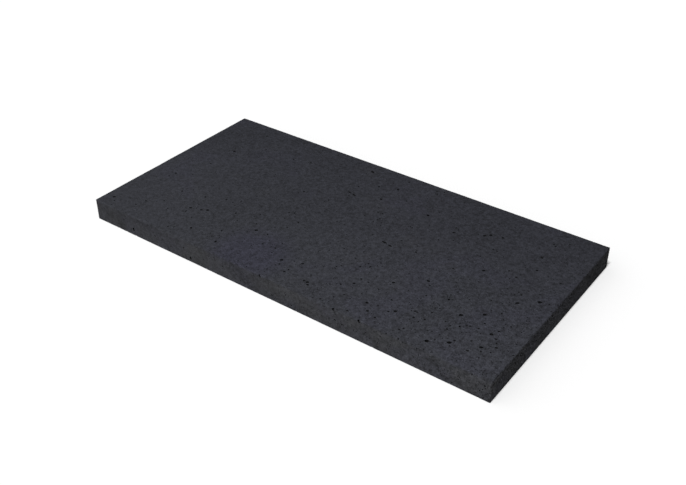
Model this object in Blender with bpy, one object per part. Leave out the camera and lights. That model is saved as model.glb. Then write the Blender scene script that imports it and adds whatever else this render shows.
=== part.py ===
"""Basalt massage stone: one flat rectangular slab sawn from fine-pored basalt.

The slab is a single solid piece of stone. Its six faces are sawn and honed
flat, every edge between them is eased by a narrow flat (the arris), and the
gas bubbles that froze into the lava stand open wherever a face cuts through
one of them.

Frame: metres, +Z up. The origin is the centre of the underside, X runs along
the length, Y across the width from the front (-Y) to the back (+Y).
"""

import math
import random

import bmesh
import bpy
from mathutils import Matrix, Vector

# ------------------------------------------------------------ the slab itself
MM = 0.001
LENGTH = 200.0 * MM  # along X
WIDTH = 100.0 * MM  # along Y
THICKNESS = 10.0 * MM  # along Z
ARRIS = 0.2 * MM  # width of the eased flat along every edge

# ------------------------------------------------------- the opened gas bubbles
BUBBLE_SIDES = 10  # facets round a bubble's opening
BUBBLE_RINGS = 7  # facets from pole to pole; odd, so none ends at the face
BUBBLE_DEPTH = 0.62  # half height of a bubble, in bubble widths
BUBBLE_SINK = 0.10  # centre below the face, in bubble widths
EDGE_MARGIN = 2.0 * MM  # bubbles of this model stay this far from an edge
CLEAR_CENTRE = 6.0 * MM  # plain stone left round each broad face's middle
SEED = 41

# The large bubbles open in the top face: x, y of the middle, then the
# opening's length and width (all mm from the slab's centre), then the turn of
# its long side from +X in degrees. They gather towards the front right corner.
TOP_BUBBLES = (
    (14.3, -42.7, 1.5, 1.1, 30),
    (15.4, -43.9, 1.3, 1.1, 0),
    (70.5, -45.0, 1.9, 1.5, 35),
    (93.0, -0.5, 1.8, 1.4, 20),
    (-26.0, -26.5, 1.7, 1.2, 45),
    (73.0, -25.0, 1.8, 1.4, 40),
    (77.5, -41.0, 1.8, 1.4, 35),
    (80.0, -19.5, 1.7, 1.3, 30),
    (87.5, -28.0, 1.5, 1.3, 0),
    (88.0, -36.5, 1.6, 1.2, 40),
    (86.5, -6.0, 1.8, 1.1, 40),
    (40.5, -39.5, 1.4, 1.2, 10),
    (52.0, -37.5, 1.4, 1.1, 30),
    (22.9, -1.9, 3.0, 1.0, -8),
    (26.2, -2.6, 2.1, 0.9, -15),
    (-12.2, 22.0, 2.3, 0.8, -5),
    (-9.4, 21.4, 2.3, 1.0, -10),
    (26.5, 26.5, 1.7, 1.2, -40),
    (-53.6, -26.9, 1.5, 1.2, 20),
    (-56.0, -28.5, 1.3, 1.0, 35),
    (-61.0, -30.0, 1.5, 1.1, 35),
    (-3.5, -37.0, 1.6, 1.2, 45),
    (5.0, -34.0, 1.3, 1.0, 25),
    (54.0, 27.0, 1.5, 1.1, 45),
    (56.0, 29.0, 1.4, 1.1, 40),
    (61.0, 30.2, 1.4, 1.1, 0),
    (4.0, 37.0, 1.5, 1.1, -45),
    (-14.4, 43.3, 2.6, 1.2, -35),
    (-80.0, 20.0, 1.4, 1.1, 30),
    (66.0, 5.0, 1.5, 1.2, 15),
    (52.0, -14.0, 1.5, 1.2, 0),
    (41.5, -23.0, 1.4, 1.1, 25),
)

# Large bubbles on the faces that follow no list: how many, and how wide.
UNDERSIDE_BUBBLES = 26
LONG_SIDE_BUBBLES = 7
SHORT_SIDE_BUBBLES = 4
BUBBLE_WIDTHS = (0.8 * MM, 1.3 * MM)

# ------------------------------------------------------------------ the finish
STONE_COLOUR = (0.040, 0.041, 0.048, 1.0)  # dark anthracite, slightly blue
STONE_ROUGHNESS = 0.78  # honed, unpolished


def clear_scene():
    """Start from nothing, without touching the file this text runs from."""
    for obj in list(bpy.data.objects):
        bpy.data.objects.remove(obj, do_unlink=True)
    for mesh in list(bpy.data.meshes):
        if not mesh.users:
            bpy.data.meshes.remove(mesh)


def stone_material():
    """The slab's plain honed basalt."""
    material = bpy.data.materials.new("honed_basalt")
    material.use_nodes = True
    shader = material.node_tree.nodes["Principled BSDF"]
    shader.inputs["Base Color"].default_value = STONE_COLOUR
    shader.inputs["Roughness"].default_value = STONE_ROUGHNESS
    shader.inputs["Metallic"].default_value = 0.0
    material.diffuse_color = STONE_COLOUR
    return material


# Each face of the slab: its middle, the two directions that lie in it, its
# outward normal, and its size along those two directions.
FACES = {
    "top": ((0, 0, THICKNESS), (1, 0, 0), (0, 1, 0), (0, 0, 1), LENGTH, WIDTH),
    "underside": ((0, 0, 0), (1, 0, 0), (0, -1, 0), (0, 0, -1), LENGTH, WIDTH),
    "front": (
        (0, -WIDTH / 2, THICKNESS / 2),
        (1, 0, 0),
        (0, 0, 1),
        (0, -1, 0),
        LENGTH,
        THICKNESS,
    ),
    "back": (
        (0, WIDTH / 2, THICKNESS / 2),
        (-1, 0, 0),
        (0, 0, 1),
        (0, 1, 0),
        LENGTH,
        THICKNESS,
    ),
    "right": (
        (LENGTH / 2, 0, THICKNESS / 2),
        (0, 1, 0),
        (0, 0, 1),
        (1, 0, 0),
        WIDTH,
        THICKNESS,
    ),
    "left": (
        (-LENGTH / 2, 0, THICKNESS / 2),
        (0, -1, 0),
        (0, 0, 1),
        (-1, 0, 0),
        WIDTH,
        THICKNESS,
    ),
}


def bubble_placement(face, u, v, length, width, turn):
    """Where one bubble sits: its long axis lies in the face, turned by turn
    radians, and its middle is a little below the face, so that the opening is
    nearly as wide as the bubble."""
    middle, along, across, normal, _, _ = FACES[face]
    along, across, normal = Vector(along), Vector(across), Vector(normal)
    centre = Vector(middle) + along * u + across * v - normal * (BUBBLE_SINK * width)
    axes = Matrix((along, across, normal)).transposed().to_4x4()
    size = Matrix.Diagonal((length / 2, width / 2, BUBBLE_DEPTH * width, 1.0))
    return Matrix.Translation(centre) @ axes @ Matrix.Rotation(turn, 4, "Z") @ size


def scattered_bubbles(face, count, rng):
    """Bubbles spread over a face by dart throwing: none touches another, none
    opens over the edge, and a broad face keeps its middle plain."""
    _, _, _, _, size_u, size_v = FACES[face]
    edge = min(EDGE_MARGIN, size_v * 0.25)
    keep_middle = size_v > 5 * THICKNESS
    placed = []
    while len(placed) < count:
        width = rng.uniform(*BUBBLE_WIDTHS)
        length = width * rng.uniform(1.0, 1.5)
        u = rng.uniform(-size_u / 2 + edge, size_u / 2 - edge)
        v = rng.uniform(-size_v / 2 + edge, size_v / 2 - edge)
        if keep_middle and math.hypot(u, v) < CLEAR_CENTRE:
            continue
        if any(
            math.hypot(u - pu, v - pv) < 0.75 * (length + other)
            for pu, pv, other, _, _ in placed
        ):
            continue
        placed.append((u, v, length, width, rng.uniform(0.0, math.pi)))
    return placed


def bubble_cutter():
    """All the bubbles as one guide object, which the slab is cut with."""
    rng = random.Random(SEED)
    bubbles = [
        ("top", (x * MM, y * MM, long * MM, wide * MM, math.radians(turn)))
        for x, y, long, wide, turn in TOP_BUBBLES
    ]
    for face, count in (
        ("underside", UNDERSIDE_BUBBLES),
        ("front", LONG_SIDE_BUBBLES),
        ("back", LONG_SIDE_BUBBLES),
        ("right", SHORT_SIDE_BUBBLES),
        ("left", SHORT_SIDE_BUBBLES),
    ):
        bubbles += [(face, b) for b in scattered_bubbles(face, count, rng)]

    bm = bmesh.new()
    for face, bubble in bubbles:
        bmesh.ops.create_uvsphere(
            bm,
            u_segments=BUBBLE_SIDES,
            v_segments=BUBBLE_RINGS,
            radius=1.0,
            matrix=bubble_placement(face, *bubble),
        )
    bmesh.ops.recalc_face_normals(bm, faces=bm.faces)
    mesh = bpy.data.meshes.new("bubble_cutter")
    bm.to_mesh(mesh)
    bm.free()
    cutter = bpy.data.objects.new("bubble_cutter", mesh)
    cutter.hide_render = True
    cutter.display_type = "WIRE"
    return cutter


def basalt_slab():
    """The stone: a rectangular block standing on the XY plane."""
    bm = bmesh.new()
    bmesh.ops.create_cube(
        bm,
        size=1.0,
        matrix=Matrix.Translation((0, 0, THICKNESS / 2))
        @ Matrix.Diagonal((LENGTH, WIDTH, THICKNESS, 1.0)),
    )
    mesh = bpy.data.meshes.new("basalt_slab")
    bm.to_mesh(mesh)
    bm.free()
    return bpy.data.objects.new("basalt_slab", mesh)


def build():
    clear_scene()
    collection = bpy.context.scene.collection

    slab = basalt_slab()
    slab.data.materials.append(stone_material())
    collection.objects.link(slab)

    cutter = bubble_cutter()
    collection.objects.link(cutter)

    # The saw leaves a sharp edge; a stroke of the stone eases it by a flat.
    eased = slab.modifiers.new("eased_arrises", "BEVEL")
    eased.width = ARRIS
    eased.segments = 1
    eased.limit_method = "NONE"
    eased.harden_normals = False

    opened = slab.modifiers.new("opened_bubbles", "BOOLEAN")
    opened.operation = "DIFFERENCE"
    opened.solver = "EXACT"
    opened.object = cutter


build()
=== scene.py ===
"""The looks of the basalt massage stone: a sawn, honed slab of fine-pored basalt.

The visible piece is one closed mesh in the CAD solid's place. It starts as the
CAD box, its twelve edges are ground down by narrow uneven flats, a few tiny
chips are knocked out of them, and every gas bubble that a face cuts through is
taken out of the stone by a Boolean. One procedural material colours it.
Metres, +Z up, the row frame of the CAD.
"""

import math

import bmesh
import bpy
import numpy as np
from mathutils import Matrix, Vector


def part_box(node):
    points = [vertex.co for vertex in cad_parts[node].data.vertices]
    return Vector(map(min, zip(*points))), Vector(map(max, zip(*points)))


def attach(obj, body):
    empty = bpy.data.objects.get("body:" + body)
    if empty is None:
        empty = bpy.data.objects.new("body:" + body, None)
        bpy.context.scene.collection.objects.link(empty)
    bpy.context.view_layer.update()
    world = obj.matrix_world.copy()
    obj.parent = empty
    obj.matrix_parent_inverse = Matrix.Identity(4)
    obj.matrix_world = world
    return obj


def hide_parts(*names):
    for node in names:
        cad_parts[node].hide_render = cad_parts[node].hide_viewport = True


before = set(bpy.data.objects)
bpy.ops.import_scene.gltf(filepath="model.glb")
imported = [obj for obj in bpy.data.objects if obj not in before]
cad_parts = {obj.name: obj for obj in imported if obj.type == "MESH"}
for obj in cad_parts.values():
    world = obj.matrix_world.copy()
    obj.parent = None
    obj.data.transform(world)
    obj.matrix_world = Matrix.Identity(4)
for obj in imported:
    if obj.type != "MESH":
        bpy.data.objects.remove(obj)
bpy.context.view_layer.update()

MM = 0.001
NODE = "basalt_slab"
LOW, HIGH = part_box(NODE)
LENGTH, WIDTH, THICK = HIGH - LOW

# ------------------------------------------------------------------- camera
scene = bpy.context.scene
camera_data = bpy.data.cameras.new("camera")
camera_data.sensor_fit = "HORIZONTAL"
camera_data.sensor_width = 36.0
camera_data.lens = 48.381
camera_data.shift_x = 0.00035
camera_data.shift_y = -0.00028
camera_data.clip_start = 0.01
camera_data.clip_end = 50.0
camera = bpy.data.objects.new("camera", camera_data)
camera.location = (0.196771, -0.267249, 0.225250)
camera.rotation_euler = (
    math.radians(55.80396),
    math.radians(0.02477),
    math.radians(36.34671),
)
scene.collection.objects.link(camera)
scene.camera = camera

# ---------------------------------------------------------- the six flat faces
# name: middle, along, across, outward normal, size along, size across (mm)
L, W, T = LENGTH / MM, WIDTH / MM, THICK / MM
FACES = {
    "top": ((0, 0, T), (1, 0, 0), (0, 1, 0), (0, 0, 1), L, W),
    "underside": ((0, 0, 0), (1, 0, 0), (0, -1, 0), (0, 0, -1), L, W),
    "front": ((0, -W / 2, T / 2), (1, 0, 0), (0, 0, 1), (0, -1, 0), L, T),
    "back": ((0, W / 2, T / 2), (-1, 0, 0), (0, 0, 1), (0, 1, 0), L, T),
    "right": ((L / 2, 0, T / 2), (0, 1, 0), (0, 0, 1), (1, 0, 0), W, T),
    "left": ((-L / 2, 0, T / 2), (0, -1, 0), (0, 0, 1), (-1, 0, 0), W, T),
}
FACES = {
    k: tuple(np.array(v, float) if isinstance(v, tuple) else float(v) for v in f)
    for k, f in FACES.items()
}

# The large bubbles of the top face, where the CAD solid has them too:
# x, y, length, width (mm), turn (degrees).
LARGE_TOP = (
    (14.3, -42.7, 1.5, 1.1, 30),
    (15.4, -43.9, 1.3, 1.1, 0),
    (70.5, -45.0, 1.9, 1.5, 35),
    (93.0, -0.5, 1.8, 1.4, 20),
    (-26.0, -26.5, 1.7, 1.2, 45),
    (73.0, -25.0, 1.8, 1.4, 40),
    (77.5, -41.0, 1.8, 1.4, 35),
    (80.0, -19.5, 1.7, 1.3, 30),
    (87.5, -28.0, 1.5, 1.3, 0),
    (88.0, -36.5, 1.6, 1.2, 40),
    (86.5, -6.0, 1.8, 1.1, 40),
    (40.5, -39.5, 1.4, 1.2, 10),
    (52.0, -37.5, 1.4, 1.1, 30),
    (22.9, -1.9, 3.0, 1.0, -8),
    (26.2, -2.6, 2.1, 0.9, -15),
    (-12.2, 22.0, 2.3, 0.8, -5),
    (-9.4, 21.4, 2.3, 1.0, -10),
    (26.5, 26.5, 1.7, 1.2, -40),
    (-53.6, -26.9, 1.5, 1.2, 20),
    (-56.0, -28.5, 1.3, 1.0, 35),
    (-61.0, -30.0, 1.5, 1.1, 35),
    (-3.5, -37.0, 1.6, 1.2, 45),
    (5.0, -34.0, 1.3, 1.0, 25),
    (54.0, 27.0, 1.5, 1.1, 45),
    (56.0, 29.0, 1.4, 1.1, 40),
    (61.0, 30.2, 1.4, 1.1, 0),
    (4.0, 37.0, 1.5, 1.1, -45),
    (-14.4, 43.3, 2.6, 1.2, -35),
    (-80.0, 20.0, 1.4, 1.1, 30),
    (66.0, 5.0, 1.5, 1.2, 15),
    (52.0, -14.0, 1.5, 1.2, 0),
    (41.5, -23.0, 1.4, 1.1, 25),
)

# Middling bubbles that stand out on the top face: x, y, width (mm).
MEDIUM_TOP = (
    (30.0, -28.5, 1.0),
    (78.5, -39.0, 1.0),
    (64.5, -19.5, 1.1),
    (63.5, -35.0, 0.9),
    (12.5, -42.5, 0.9),
    (2.5, -42.5, 1.0),
    (92.5, -33.5, 1.0),
    (73.0, -35.0, 0.8),
    (59.0, -45.5, 0.8),
    (3.0, -40.5, 0.8),
    (42.5, 21.5, 1.1),
    (90.0, -29.5, 0.8),
    (-49.5, -41.5, 1.1),
    (89.0, -25.0, 1.0),
    (82.5, -24.0, 0.9),
    (43.5, -43.5, 1.0),
    (12.5, -38.0, 0.8),
    (4.5, 45.5, 0.9),
    (83.5, -35.5, 0.9),
    (80.5, 27.0, 1.1),
    (79.0, -28.5, 0.9),
    (63.5, -30.0, 0.8),
    (60.0, -44.0, 0.8),
    (59.5, -36.5, 1.0),
    (58.0, -33.0, 0.9),
    (48.0, -45.0, 0.9),
    (47.0, -32.5, 0.8),
    (29.5, -32.5, 1.0),
    (-77.5, 41.5, 1.0),
    (-95.0, -43.5, 1.2),
    (85.0, -41.0, 0.9),
    (78.5, 8.5, 0.9),
    (76.0, -31.0, 1.0),
    (2.5, 25.5, 1.1),
    (55.5, -1.0, 0.9),
    (50.0, -39.0, 0.9),
    (25.5, -36.0, 0.9),
    (-37.5, -35.5, 0.8),
    (-62.0, -19.5, 1.1),
    (-88.0, -12.0, 1.0),
    (-53.0, -15.5, 1.0),
    (-34.0, -43.0, 1.0),
    (89.0, -38.5, 0.9),
    (83.0, 17.5, 0.9),
    (81.5, 37.5, 0.9),
    (62.0, 20.0, 0.9),
    (-4.5, 34.0, 1.0),
    (-42.0, -21.5, 1.0),
    (-74.0, -22.0, 0.9),
    (-81.0, -37.5, 1.0),
    (-12.0, 28.5, 0.9),
    (-29.5, 10.5, 0.9),
)


# ------------------------------------------------------------- mesh utilities
def mesh_object(name, verts, faces):
    """A linked object from points in mm and triangles or quads."""
    mesh = bpy.data.meshes.new(name)
    mesh.from_pydata((np.asarray(verts, float) * MM).tolist(), [], faces)
    mesh.update()
    obj = bpy.data.objects.new(name, mesh)
    scene.collection.objects.link(obj)
    return obj


def remove(obj):
    mesh = obj.data
    bpy.data.objects.remove(obj, do_unlink=True)
    bpy.data.meshes.remove(mesh)


def cut(target, cutter):
    """Take cutter out of target for good. Both are closed, and the cutter's
    own bodies don't touch each other."""
    before = len(target.data.polygons)
    step = target.modifiers.new("cut", "BOOLEAN")
    step.operation = "DIFFERENCE"
    step.solver = "MANIFOLD"
    step.object = cutter
    depsgraph = bpy.context.evaluated_depsgraph_get()
    result = bpy.data.meshes.new_from_object(target.evaluated_get(depsgraph))
    target.modifiers.clear()
    old = target.data
    target.data = result
    bpy.data.meshes.remove(old)
    remove(cutter)
    if len(result.polygons) <= before:
        raise RuntimeError("a Boolean took nothing out of the slab")


# ------------------------------------------------------------ the plain block
def block():
    x, y = L / 2, W / 2
    verts = [(sx * x, sy * y, z) for z in (0, T) for sy in (-1, 1) for sx in (-1, 1)]
    faces = [
        (0, 2, 3, 1),
        (4, 5, 7, 6),
        (0, 1, 5, 4),
        (2, 6, 7, 3),
        (0, 4, 6, 2),
        (1, 3, 7, 5),
    ]
    return mesh_object("stone", verts, faces)


# ------------------------------------------------- the eased, uneven arrises
rng = np.random.default_rng(2024)


def smooth_run(count, reach, low, high):
    """count values between low and high that wander over about reach steps,
    with a little jitter on top."""
    kernel = np.hanning(2 * reach + 3)
    raw = rng.random(count + len(kernel))
    wander = np.convolve(raw, kernel / kernel.sum(), "same")[:count]
    wander = (wander - wander.min()) / (np.ptp(wander) + 1e-9)
    value = 0.7 * wander + 0.3 * rng.random(count)
    return low + (high - low) * value


def arris_cutter(axis):
    """The four wedges that ease the edges along one axis, each a loft of
    uneven triangles whose inner side has a slight crown."""
    half = (L / 2, W / 2, T / 2)
    middle = np.array((0, 0, T / 2))
    along = np.eye(3)[axis]
    one, two = (np.eye(3)[i] for i in range(3) if i != axis)
    i_one, i_two = (i for i in range(3) if i != axis)
    count = max(8, int(round(2 * half[axis] / 1.6)))
    stations = np.linspace(-half[axis] - 1.0, half[axis] + 1.0, count)
    verts, faces = [], []
    for s_one in (-1, 1):
        for s_two in (-1, 1):
            n1, n2 = one * s_one, two * s_two
            edge = middle + n1 * half[i_one] + n2 * half[i_two]
            a = smooth_run(count, 6, 0.11, 0.27)
            b = smooth_run(count, 6, 0.11, 0.27)
            crown = smooth_run(count, 3, 0.02, 0.06)
            base = len(verts)
            for s, a_s, b_s, c_s in zip(stations, a, b, crown):
                corner = edge + along * s
                on1 = corner - n2 * b_s
                on2 = corner - n1 * a_s
                run = on1 - on2
                verts += [
                    on1 + run * 1.5,
                    (on1 + on2) / 2 + (n1 + n2) / math.sqrt(2) * c_s,
                    on2 - run * 1.5,
                    corner + (n1 + n2) * 1.2,
                ]
            for k in range(count - 1):
                p, q = base + 4 * k, base + 4 * (k + 1)
                for e in range(4):
                    f = (e + 1) % 4
                    faces.append((p + e, p + f, q + f, q + e))
            faces.append(tuple(base + e for e in (3, 2, 1, 0)))
            faces.append(tuple(base + 4 * (count - 1) + e for e in (0, 1, 2, 3)))
    obj = mesh_object("arris_cutter", verts, faces)
    triangulate(obj, outwards=True)
    return obj


def triangulate(obj, outwards=False):
    bm = bmesh.new()
    bm.from_mesh(obj.data)
    bmesh.ops.triangulate(bm, faces=bm.faces)
    if outwards:
        bmesh.ops.recalc_face_normals(bm, faces=bm.faces)
    bm.to_mesh(obj.data)
    bm.free()


# --------------------------------------------------------- the opened bubbles
def ball(sides, rings):
    """A unit ball as points and triangles."""
    bm = bmesh.new()
    bmesh.ops.create_uvsphere(bm, u_segments=sides, v_segments=rings, radius=1.0)
    bmesh.ops.triangulate(bm, faces=bm.faces)
    bm.verts.ensure_lookup_table()
    v = np.array([p.co for p in bm.verts])
    f = np.array([[p.index for p in face.verts] for face in bm.faces])
    bm.free()
    return v, f


# finer balls for wider bubbles
BALLS = (ball(5, 3), ball(6, 4), ball(8, 6), ball(12, 8))


def turn_matrix(z_turn, tilt_x, tilt_y):
    return np.array(
        (
            Matrix.Rotation(z_turn, 3, "Z")
            @ Matrix.Rotation(tilt_x, 3, "X")
            @ Matrix.Rotation(tilt_y, 3, "Y")
        )
    )


def bubble(face, u, v, length, width, turn, depth=None, sink=None, level=2, rough=0.1):
    """One bubble's points (mm) and triangles. u, v is its middle in the face.
    Its wall is uneven: three slow waves push it in and out."""
    middle, along, across, normal, _, _ = FACES[face]
    points, tris = BALLS[level]
    spin = turn_matrix(*rng.uniform(0, math.tau, 3))
    points = points @ spin.T
    swell = np.ones(len(points))
    for wave in (1.7, 3.1, 4.9):
        direction = rng.normal(size=3)
        direction *= wave / np.linalg.norm(direction)
        swell += rough * rng.uniform(0.4, 1.0) * np.sin(
            points @ direction + rng.uniform(0, math.tau)
        )
    depth = width * rng.uniform(0.5, 0.75) if depth is None else depth
    sink = width * rng.uniform(-0.02, 0.16) if sink is None else sink
    points = points * swell[:, None] * (length / 2, width / 2, depth)
    points = points @ turn_matrix(turn, *rng.normal(0, 0.12, 2)).T
    points = points @ np.array((along, across, normal))
    centre = middle + along * u + across * v - normal * sink
    return points + centre, tris, centre, max(length / 2, width / 2, depth) * (
        1 + 2.2 * rough
    )


def wanted(face, u, v):
    """How thickly bubbles lie at a point of the stone, from 0 to 1. They
    gather towards the front right corner and thin out to the back left."""
    middle, along, across, normal, _, _ = FACES[face]
    x, y, z = middle + along * u + across * v
    right = (x + L / 2) / L
    front = (W / 2 - y) / W
    if face == "underside":
        right, front = 1 - 0.8 * right, 0.35 + 0.5 * front
    dense = 0.17 + 0.83 * max(right, 0) ** 1.5 * max(front, 0) ** 1.2
    if face not in ("top", "underside"):
        dense = 0.35 + 0.45 * dense
    return dense


def scatter(face, count, low, high, power, taken, gap, **shape):
    """count bubbles at random places of one face. Their widths run from low to
    high mm, with more small ones the higher the power. Returns bubbles."""
    _, _, _, _, size_u, size_v = FACES[face]
    made = []
    tries = 0
    while len(made) < count and tries < count * 60:
        tries += 1
        u = rng.uniform(-size_u / 2, size_u / 2)
        v = rng.uniform(-size_v / 2, size_v / 2)
        if rng.random() > wanted(face, u, v):
            continue
        width = low + (high - low) * rng.random() ** power
        length = width * (1 + 0.7 * rng.random() ** 2)
        if gap and taken:
            near = np.asarray(taken)
            if (
                np.hypot(near[:, 0] - u, near[:, 1] - v)
                < gap * (near[:, 2] + length / 2)
            ).any():
                continue
        taken.append((u, v, length / 2))
        made.append(
            bubble(face, u, v, length, width, rng.uniform(0, math.pi), **shape)
        )
    return made


def all_bubbles():
    made = []
    for x, y, length, width, turn in LARGE_TOP:
        made.append(
            bubble(
                "top",
                x,
                y,
                length,
                width,
                math.radians(turn),
                depth=0.75 * width,
                sink=0.12 * width,
                level=3,
                rough=0.08,
            )
        )
    for x, y, width in MEDIUM_TOP:
        made.append(
            bubble(
                "top",
                x,
                y,
                width * rng.uniform(1.0, 1.4),
                width,
                rng.uniform(0, math.pi),
            )
        )
    # face: large, medium, small, tiny
    amounts = {
        "top": (0, 240, 760, 300),
        "underside": (34, 120, 330, 100),
        "front": (5, 32, 95, 36),
        "back": (6, 34, 90, 30),
        "right": (3, 22, 60, 24),
        "left": (3, 18, 44, 14),
    }
    for face, (large, medium, small, tiny) in amounts.items():
        taken = []
        if face == "top":
            taken += [(x, y, length / 2) for x, y, length, _, _ in LARGE_TOP]
            taken += [(x, y, width / 2) for x, y, width in MEDIUM_TOP]
        made += scatter(face, large, 0.85, 1.3, 1.5, taken, 1.2, level=3, rough=0.09)
        made += scatter(face, medium, 0.48, 0.80, 1.6, taken, 1.1, level=2, rough=0.1)
        made += scatter(face, small, 0.30, 0.48, 1.2, taken, 1.05, level=1, rough=0.1)
        made += scatter(face, tiny, 0.22, 0.30, 1.0, taken, 1.05, level=0, rough=0.1)
    return made


def chips():
    """Tiny flakes lost from the arrises, flat and wider than deep."""
    made = []
    for face in FACES:
        _, _, _, _, size_u, size_v = FACES[face]
        for side in (-1, 1):
            for _ in range(int(size_u / 16)):
                u = rng.uniform(-size_u / 2, size_u / 2)
                v = side * (size_v / 2 + rng.uniform(-0.02, 0.12))
                length = rng.uniform(0.5, 1.3)
                made.append(
                    bubble(
                        face,
                        u,
                        v,
                        length,
                        rng.uniform(0.35, 0.7),
                        rng.normal(0, 0.15),
                        depth=rng.uniform(0.2, 0.38),
                        sink=rng.uniform(-0.08, 0.04),
                        level=2,
                        rough=0.16,
                    )
                )
    return made


def cut_all(target, bodies):
    """Cut the bodies in as few Booleans as keep each one's bodies apart."""
    order = sorted(range(len(bodies)), key=lambda i: -bodies[i][3])
    batches = []
    for i in order:
        _, _, centre, radius = bodies[i]
        for batch in batches:
            c, r = np.array(batch["c"]), np.array(batch["r"])
            if (np.linalg.norm(c - centre, axis=1) > r + radius).all():
                break
        else:
            batch = {"c": [], "r": [], "i": []}
            batches.append(batch)
        batch["c"].append(centre)
        batch["r"].append(radius)
        batch["i"].append(i)
    for batch in batches:
        verts, faces, start = [], [], 0
        for i in batch["i"]:
            v, f, _, _ = bodies[i]
            verts.append(v)
            faces.append(f + start)
            start += len(v)
        cut(
            target,
            mesh_object("cutter", np.concatenate(verts), np.concatenate(faces).tolist()),
        )


stone = block()
for axis in range(3):
    cut(stone, arris_cutter(axis))
cut_all(stone, chips() + all_bubbles())
triangulate(stone)


# ----------------------------------------------------------- shading and map
def inside_distances(co):
    """How far points (mm) lie inside each of the six faces, as columns in the
    order right, left, back, front, top, underside."""
    return np.stack(
        (
            L / 2 - co[:, 0],
            L / 2 + co[:, 0],
            W / 2 - co[:, 1],
            W / 2 + co[:, 1],
            T - co[:, 2],
            co[:, 2],
        ),
        1,
    )


def mesh_arrays(mesh):
    """A triangle mesh's points in mm and its triangles."""
    co = np.zeros(len(mesh.vertices) * 3)
    mesh.vertices.foreach_get("co", co)
    tri = np.zeros(len(mesh.loops), int)
    mesh.loops.foreach_get("vertex_index", tri)
    return co.reshape(-1, 3) / MM, tri.reshape(-1, 3)


def finish_shading(obj):
    """Flat faces stay flat, and the walls of bubbles, chips and arrises are
    smooth up to their rims."""
    mesh = obj.data
    co, tri = mesh_arrays(mesh)
    flat = (np.abs(inside_distances(co)[tri]) < 2e-4).all(1).any(1)
    mesh.polygons.foreach_set("use_smooth", ~flat)
    mesh.update()
    mesh.set_sharp_from_angle(angle=math.radians(38))
    mesh.polygons.foreach_set("use_smooth", ~flat)
    mesh.update()
    return flat


def lay_out_map(obj):
    """A map of the six faces side by side at one scale, each seen straight on,
    with the bubbles' walls under their own openings."""
    mesh = obj.data
    px, side, gap = 4.3, 1024, 6
    places = {
        "top": (gap, gap),
        "underside": (gap, 2 * gap + 100 * px),
        "front": (gap, 3 * gap + 200 * px),
        "back": (gap, 4 * gap + 210 * px),
        "right": (gap, 5 * gap + 220 * px),
        "left": (2 * gap + 100 * px, 5 * gap + 220 * px),
    }
    order = ("right", "left", "back", "front", "top", "underside")
    co, tri = mesh_arrays(mesh)
    count = len(tri)
    middle = co[tri].mean(1)
    owner = np.abs(inside_distances(middle)).argmin(1)
    uv = np.zeros((count, 3, 2))
    for k, name in enumerate(order):
        mid, along, across, _, size_u, size_v = FACES[name]
        mine = owner == k
        rel = co[tri[mine]] - mid
        x0, y0 = places[name]
        uv[mine, :, 0] = (x0 + (rel @ along + size_u / 2) * px) / side
        uv[mine, :, 1] = (y0 + (rel @ across + size_v / 2) * px) / side
    layer = mesh.uv_layers.new(name="OFBake")
    layer.data.foreach_set("uv", uv.reshape(-1))


finish_shading(stone)
lay_out_map(stone)
stone.name = "basalt_stone"
stone.data.name = "basalt_stone"


# ------------------------------------------------------------------ materials
class Graph:
    """A small helper that adds nodes and links to one material."""

    def __init__(self, name):
        self.material = bpy.data.materials.new(name)
        self.material.use_nodes = True
        self.tree = self.material.node_tree
        self.shader = self.tree.nodes["Principled BSDF"]
        self.column = 0

    def add(self, kind, inputs=None, **settings):
        node = self.tree.nodes.new(kind)
        self.column += 1
        node.location = (-200 * (self.column % 14) - 200, -220 * (self.column // 14))
        for key, value in settings.items():
            setattr(node, key, value)
        for key, value in (inputs or {}).items():
            self.put(node.inputs[key], value)
        return node

    def put(self, socket, value):
        if isinstance(value, bpy.types.NodeSocket):
            self.tree.links.new(value, socket)
        else:
            socket.default_value = value

    def math(self, operation, a, b=0.0, c=0.0, clamp=False):
        node = self.add("ShaderNodeMath", operation=operation, use_clamp=clamp)
        for socket, value in zip(node.inputs, (a, b, c)):
            self.put(socket, value)
        return node.outputs[0]

    def ramp(self, value, low, high, to_low=0.0, to_high=1.0, smooth=True):
        node = self.add(
            "ShaderNodeMapRange",
            interpolation_type="SMOOTHSTEP" if smooth else "LINEAR",
        )
        for key, v in (
            ("Value", value),
            ("From Min", low),
            ("From Max", high),
            ("To Min", to_low),
            ("To Max", to_high),
        ):
            self.put(node.inputs[key], v)
        return node.outputs["Result"]

    def noise(self, place, scale, detail=3.0, roughness=0.5, distortion=0.0):
        node = self.add(
            "ShaderNodeTexNoise",
            {
                "Vector": place,
                "Scale": scale,
                "Detail": detail,
                "Roughness": roughness,
                "Distortion": distortion,
            },
        )
        return node.outputs["Fac"]

    def mix(self, factor, a, b):
        node = self.add("ShaderNodeMix", data_type="RGBA")
        self.put(node.inputs["Factor"], factor)
        self.put(node.inputs[6], a)
        self.put(node.inputs[7], b)
        return node.outputs[2]

    def scale_colour(self, colour, factor):
        node = self.add("ShaderNodeVectorMath", operation="SCALE")
        self.put(node.inputs[0], colour)
        self.put(node.inputs["Scale"], factor)
        return node.outputs[0]


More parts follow.
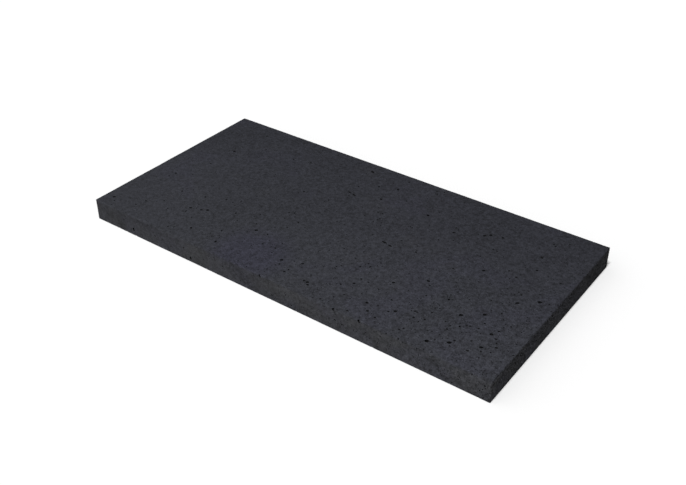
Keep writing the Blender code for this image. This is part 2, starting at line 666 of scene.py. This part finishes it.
def basalt():
    g = Graph("basalt")
    place = g.add("ShaderNodeTexCoord").outputs["Object"]
    mm = g.add("ShaderNodeVectorMath", operation="SCALE")
    g.put(mm.inputs[0], place)
    g.put(mm.inputs["Scale"], 1000.0)
    mm = mm.outputs[0]

    # distances inside the faces, in mm: the nearest and the second nearest
    xyz = g.add("ShaderNodeSeparateXYZ", {"Vector": mm}).outputs
    dx = g.math("SUBTRACT", L / 2, g.math("ABSOLUTE", xyz[0]))
    dy = g.math("SUBTRACT", W / 2, g.math("ABSOLUTE", xyz[1]))
    dz = g.math("SUBTRACT", T / 2, g.math("ABSOLUTE", g.math("SUBTRACT", xyz[2], T / 2)))
    low_xy = g.math("MINIMUM", dx, dy)
    high_xy = g.math("MAXIMUM", dx, dy)
    nearest = g.math("MINIMUM", low_xy, dz)
    second = g.math("MINIMUM", high_xy, g.math("MAXIMUM", low_xy, dz))

    # how porous the stone is here: most towards the front right corner
    right = g.ramp(xyz[0], -L / 2, L / 2, smooth=False)
    front = g.ramp(xyz[1], W / 2, -W / 2, smooth=False)
    porous = g.math(
        "MULTIPLY", g.math("POWER", right, 1.5), g.math("POWER", front, 1.2)
    )

    # clouds: slow changes of depth and tint across the slab, stronger on the
    # sawn edge faces, and one bluish patch near the front
    cloud = g.noise(mm, 0.03, 3.0, 0.5)
    smear = g.noise(mm, 0.055, 3.0, 0.55, 0.4)
    edge_face = g.ramp(dz, 0.2, 1.2)
    end_face = g.math("MULTIPLY", edge_face, g.ramp(dx, 0.2, 1.2, 1.0, 0.0))
    patch = g.add("ShaderNodeVectorMath", operation="DISTANCE")
    g.put(patch.inputs[0], mm)
    patch.inputs[1].default_value = (-17.0, -41.0, T)
    cool = g.math(
        "MAXIMUM",
        g.ramp(g.noise(mm, 0.03, 2.0, 0.45, 0.5), 0.58, 0.66, 0.0, 0.3),
        g.ramp(patch.outputs["Value"], 8.0, 23.0, 1.0, 0.0),
    )
    tint = g.noise(mm, 0.06, 2.0, 0.5)
    warm = g.ramp(tint, 0.58, 0.72, 0.0, 0.3)

    # grain: mottling from three millimetres down to a third of one, pale feldspar
    # crystals, real dark specks, and painted shade in pores finer than the cut bubbles
    blotch = g.noise(mm, 0.33, 3.0, 0.55)
    mottle = g.noise(mm, 0.85, 4.0, 0.62)
    fine = g.noise(mm, 2.4, 3.0, 0.6)
    cells = g.add(
        "ShaderNodeTexVoronoi",
        {"Vector": mm, "Scale": 1.9, "Randomness": 1.0},
        feature="F1",
    ).outputs
    chance = g.add("ShaderNodeSeparateXYZ", {"Vector": cells["Color"]}).outputs
    crystal = g.math(
        "MULTIPLY",
        g.ramp(cells["Distance"], 0.16, 0.40, 1.0, 0.0),
        g.ramp(chance[0], 0.68, 0.98),
    )
    speck = g.math(
        "MULTIPLY",
        g.ramp(cells["Distance"], 0.16, 0.40, 1.0, 0.0),
        g.ramp(chance[1], 0.55, 1.0),
    )
    pits = g.add(
        "ShaderNodeTexVoronoi",
        {"Vector": mm, "Scale": 1.05, "Randomness": 1.0},
        feature="F1",
    ).outputs
    lot = g.add("ShaderNodeSeparateXYZ", {"Vector": pits["Color"]}).outputs
    # painted shade: dark dots where fine pores would hold shade
    pore_painted_shade = g.math(
        "MULTIPLY",
        g.ramp(pits["Distance"], 0.14, 0.40, 1.0, 0.0),
        g.ramp(lot[0], 0.40, 0.95),
    )
    phenocryst = g.math(
        "MULTIPLY",
        g.ramp(pits["Distance"], 0.14, 0.36, 1.0, 0.0),
        g.ramp(lot[1], 0.72, 1.0),
    )
    # the dark spots: real dark specks, and painted shade for the fine pores
    specks_and_pore_shade = g.math(
        "MULTIPLY",
        g.math("ADD", g.math("MULTIPLY", pore_painted_shade, 0.55), g.math("MULTIPLY", speck, 0.42)),
        g.math("MULTIPLY_ADD", porous, 0.6, 0.72),
    )

    grain = g.math("MULTIPLY", g.math("SUBTRACT", mottle, 0.5), 2.4)
    grain = g.math("MULTIPLY_ADD", g.math("SUBTRACT", fine, 0.5), 2.1, grain)
    grain = g.math("MULTIPLY_ADD", g.math("SUBTRACT", blotch, 0.5), 0.5, grain)
    grain = g.math("MULTIPLY_ADD", crystal, 1.25, grain)
    grain = g.math("MULTIPLY_ADD", phenocryst, 0.65, grain)
    # it shows more towards the porous corner, and on the two sawn ends
    strength = g.math("MULTIPLY_ADD", porous, 0.65, 0.93)
    strength = g.math("MULTIPLY_ADD", edge_face, -0.12, strength)
    strength = g.math("MULTIPLY_ADD", end_face, 0.8, strength)
    grain = g.math("MULTIPLY", grain, strength)
    light = g.math("ADD", grain, g.math("MULTIPLY_ADD", porous, 0.08, 1.0))
    light = g.math("MULTIPLY_ADD", edge_face, 0.04, light)
    light = g.math("MULTIPLY_ADD", g.math("SUBTRACT", cloud, 0.5), 0.4, light)
    light = g.math(
        "MULTIPLY_ADD",
        g.math("MULTIPLY", g.math("SUBTRACT", smear, 0.5), edge_face),
        g.math("MULTIPLY_ADD", end_face, 0.6, 0.8),
        light,
    )
    # painted light: the stone is lighter towards the front and darker towards the back, as
    # a lamp's falloff would light it; about half as strong on the edge faces
    painted_falloff = g.math("MULTIPLY_ADD", edge_face, -0.18, 0.35)
    light = g.math("MULTIPLY_ADD", g.math("SUBTRACT", front, 0.5), painted_falloff, light)
    light = g.math("MULTIPLY", light, g.math("SUBTRACT", 1.0, specks_and_pore_shade))

    # painted shade: the arris is a touch darker, to dim the bright line its lit flat
    # catches, and a bubble's wall is painted darker with depth, as the shade inside the
    # hole
    arris_painted_shade = g.math(
        "MULTIPLY", g.ramp(second, 0.1, 0.5, 1.0, 0.0), g.ramp(nearest, 0.2, 0.4, 1.0, 0.0)
    )
    # painted shade on the arris, against the bright line of its lit flat
    light = g.math("MULTIPLY", light, g.math("MULTIPLY_ADD", arris_painted_shade, -0.05, 1.0))
    # painted shade: a bubble's wall gets darker the deeper it lies, as the shade in the
    # hole; it fades out near the arrises
    pit_painted_shade = g.math("MULTIPLY", g.ramp(nearest, 0.01, 0.11), g.ramp(second, 0.30, 0.5))
    light = g.math("MULTIPLY", light, g.math("MULTIPLY_ADD", pit_painted_shade, -0.93, 1.0))

    colour = g.mix(front, (0.0242, 0.0253, 0.0328, 1), (0.0242, 0.0254, 0.0312, 1))
    colour = g.mix(cool, colour, (0.0243, 0.0245, 0.0358, 1))
    colour = g.mix(warm, colour, (0.0246, 0.0252, 0.0297, 1))
    sawn = g.mix(
        g.ramp(tint, 0.38, 0.62),
        (0.0242, 0.0248, 0.0309, 1),
        (0.0245, 0.0250, 0.0275, 1),
    )
    colour = g.mix(g.math("MULTIPLY", edge_face, 0.85), colour, sawn)
    g.put(g.shader.inputs["Base Color"], g.scale_colour(colour, light))

    rough = g.math("MULTIPLY_ADD", g.math("SUBTRACT", mottle, 0.5), 0.25, 0.80)
    g.put(g.shader.inputs["Roughness"], g.math("MINIMUM", rough, 1.0))
    g.shader.inputs["Specular IOR Level"].default_value = 0.25
    g.shader.inputs["Metallic"].default_value = 0.0

    height = g.math("MULTIPLY_ADD", fine, 0.5, g.math("MULTIPLY", mottle, 1.0))
    height = g.math("SUBTRACT", height, g.math("MULTIPLY", specks_and_pore_shade, 1.6))
    bump = g.add(
        "ShaderNodeBump", {"Height": height, "Strength": 0.75, "Distance": 0.00012}
    )
    g.put(g.shader.inputs["Normal"], bump.outputs["Normal"])
    return g.material


stone.data.materials.clear()
stone.data.materials.append(basalt())
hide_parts(NODE)
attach(stone, "root")


# ------------------------------------------------------------ floor and light
def floor():
    size = 4.0
    mesh = bpy.data.meshes.new("floor")
    z = LOW.z - 0.00002
    mesh.from_pydata(
        [(-size, -size, z), (size, -size, z), (size, size, z), (-size, size, z)],
        [],
        [(0, 1, 2, 3)],
    )
    obj = bpy.data.objects.new("floor", mesh)
    scene.collection.objects.link(obj)
    material = bpy.data.materials.new("floor_white")
    material.use_nodes = True
    shader = material.node_tree.nodes["Principled BSDF"]
    shader.inputs["Base Color"].default_value = (0.95, 0.95, 0.95, 1)
    shader.inputs["Roughness"].default_value = 1.0
    shader.inputs["Specular IOR Level"].default_value = 0.0
    mesh.materials.append(material)
    obj.visible_glossy = False


floor()
sun_data = bpy.data.lights.new("sun", "SUN")
sun_data.energy = 2.76
sun_data.angle = math.radians(13)
sun = bpy.data.objects.new("sun", sun_data)
sun.rotation_euler = Vector((-0.04, 0.395, -0.918)).to_track_quat("-Z", "Y").to_euler()
scene.collection.objects.link(sun)

# a big soft dome that is brightest at the front left, so that no shadow is
# black; the camera sees it plain white
world = bpy.data.worlds.new("studio")
world.use_nodes = True
tree = world.node_tree
background = tree.nodes["Background"]
sky = tree.nodes.new("ShaderNodeTexCoord")
towards = tree.nodes.new("ShaderNodeVectorMath")
towards.operation = "DOT_PRODUCT"
tree.links.new(sky.outputs["Generated"], towards.inputs[0])
towards.inputs[1].default_value = (-0.60, -0.70, 0.40)
dome = tree.nodes.new("ShaderNodeMapRange")
tree.links.new(towards.outputs["Value"], dome.inputs["Value"])
dome.inputs["To Min"].default_value = 0.02
dome.inputs["To Max"].default_value = 0.70
seen = tree.nodes.new("ShaderNodeLightPath")
level = tree.nodes.new("ShaderNodeMapRange")
tree.links.new(seen.outputs["Is Camera Ray"], level.inputs["Value"])
tree.links.new(dome.outputs["Result"], level.inputs["To Min"])
level.inputs["To Max"].default_value = 1.0
background.inputs["Color"].default_value = (1, 1, 1, 1)
tree.links.new(level.outputs["Result"], background.inputs["Strength"])
scene.world = world

scene.view_settings.view_transform = "Standard"
scene.view_settings.look = "None"
scene.view_settings.exposure = 0.0
scene.view_settings.gamma = 1.0
